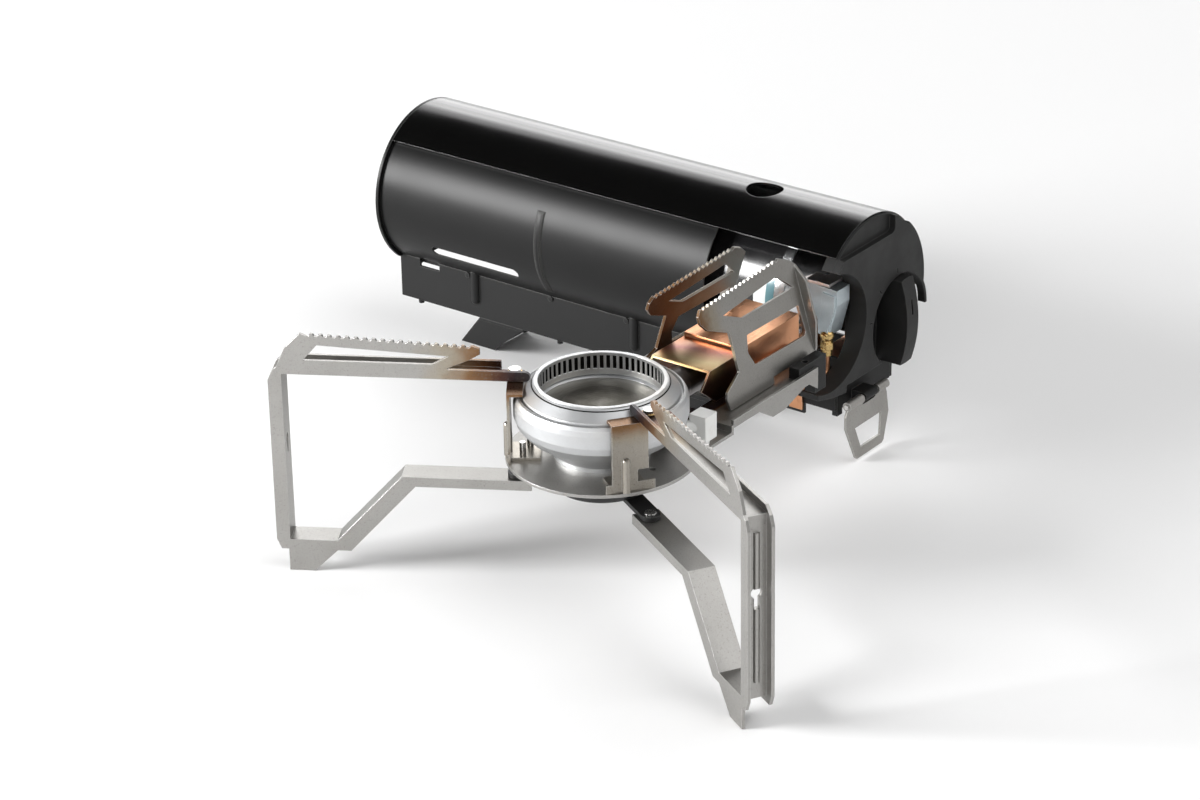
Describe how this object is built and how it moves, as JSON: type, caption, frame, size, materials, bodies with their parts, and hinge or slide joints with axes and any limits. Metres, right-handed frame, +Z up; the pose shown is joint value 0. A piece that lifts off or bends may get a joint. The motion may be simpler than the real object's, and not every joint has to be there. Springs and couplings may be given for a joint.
{
  "type": "portable gas stove",
  "caption": "Portable gas stove: cylindrical canister body with a turning cover and a knob, burner on a side arm, folding pot-support legs",
  "frame": {"origin": "on the ground, under the middle of the bounding box", "axes": "+X along the body towards the knob, +Y away from the burner, +Z up"},
  "size_m": [0.3914, 0.3099, 0.1244],
  "materials": {
    "gloss_black": "glossy black paint",
    "satin_black": "satin black paint",
    "dark_plastic": "dark grained plastic",
    "stainless": "stainless steel with heat tint",
    "cast_alloy": "fine cast aluminium",
    "tube_steel": "dark oxidised steel",
    "fasteners": "plated steel",
    "copper": "copper",
    "tinted_steel": "gold and rose heat tint",
    "brass": "brass",
    "zinc": "bluish zinc plating",
    "white_ceramic": "white ceramic",
    "can_label": "printed can",
    "can_metal": "tinned steel",
    "can_valve": "white plastic"
  },
  "bodies": {
    "base": {"base_rail": "satin_black", "feet": "satin_black", "front_shell": "satin_black", "rear_shell": "satin_black", "left_disc": "satin_black", "end_housing": "dark_plastic", "end_block": "satin_black", "rail_rivets": "fasteners", "housing_screws": "fasteners", "heat_panel": "copper", "canister_saddles": "dark_plastic", "regulator_body": "zinc", "regulator_bracket": "cast_alloy", "brass_union": "brass", "gas_tube": "copper", "piezo_unit": "white_ceramic", "pivot_bracket": "satin_black", "pivot_post": "stainless", "tag_pin": "stainless"},
    "cover": {"cover": "gloss_black"},
    "knob": {"knob": "dark_plastic", "knob_spindle": "stainless"},
    "canister": {"canister": "can_label", "canister_dome": "can_metal", "canister_nozzle": "can_valve"},
    "arm": {"arm_plate": "stainless", "arm_bracket": "satin_black", "pivot_bush": "brass", "burner_body": "cast_alloy", "flame_ring": "cast_alloy", "burner_floor": "cast_alloy", "hub_cover": "satin_black", "mixing_tube": "tube_steel", "jet_holder": "brass", "duct_cover": "tinted_steel", "copper_duct": "copper", "rear_support_left": "stainless", "rear_support_right": "stainless", "leg_bracket_left": "stainless", "leg_bracket_right": "stainless", "bracket_screws": "fasteners", "leg_pins": "stainless", "pin_washers": "brass", "igniter_block": "white_ceramic", "electrode": "stainless", "igniter_screws": "fasteners"},
    "leg_left": {"leg_left": "stainless"},
    "leg_right": {"leg_right": "stainless"},
    "tag": {"tag": "stainless"}
  },
  "joints": [
    {"name": "cover_turn", "type": "hinge", "parent": "base", "child": "cover", "pos_m": [0, 0.1108, 0.0805], "axis": [1, 0, 0], "range_deg": [0, 84]},
    {"name": "knob_turn", "type": "hinge", "parent": "base", "child": "knob", "pos_m": [0.0842, 0.1313, 0.0635], "axis": [-1, 0, 0], "range_deg": [0, 110]},
    {"name": "canister_draw", "type": "slide", "parent": "base", "child": "canister", "axis": [-1, 0, 0], "range_m": [0, 0.01]},
    {"name": "arm_swing", "type": "hinge", "parent": "base", "child": "arm", "pos_m": [0.0346, 0.0366, 0.0706], "axis": [0, 0, -1], "range_deg": [0, 45]},
    {"name": "leg_left_fold", "type": "hinge", "parent": "arm", "child": "leg_left", "pos_m": [0.01856, -0.0912, 0.101], "axis": [0, 0, -1], "range_deg": [0, 100]},
    {"name": "leg_right_fold", "type": "hinge", "parent": "arm", "child": "leg_right", "pos_m": [0.09384, -0.0912, 0.101], "axis": [0, 0, 1], "range_deg": [0, 100]},
    {"name": "tag_swing", "type": "hinge", "parent": "base", "child": "tag", "pos_m": [0.0838, 0.1108, 0.033], "axis": [0, -1, 0], "range_deg": [0, 90]}
  ]
}
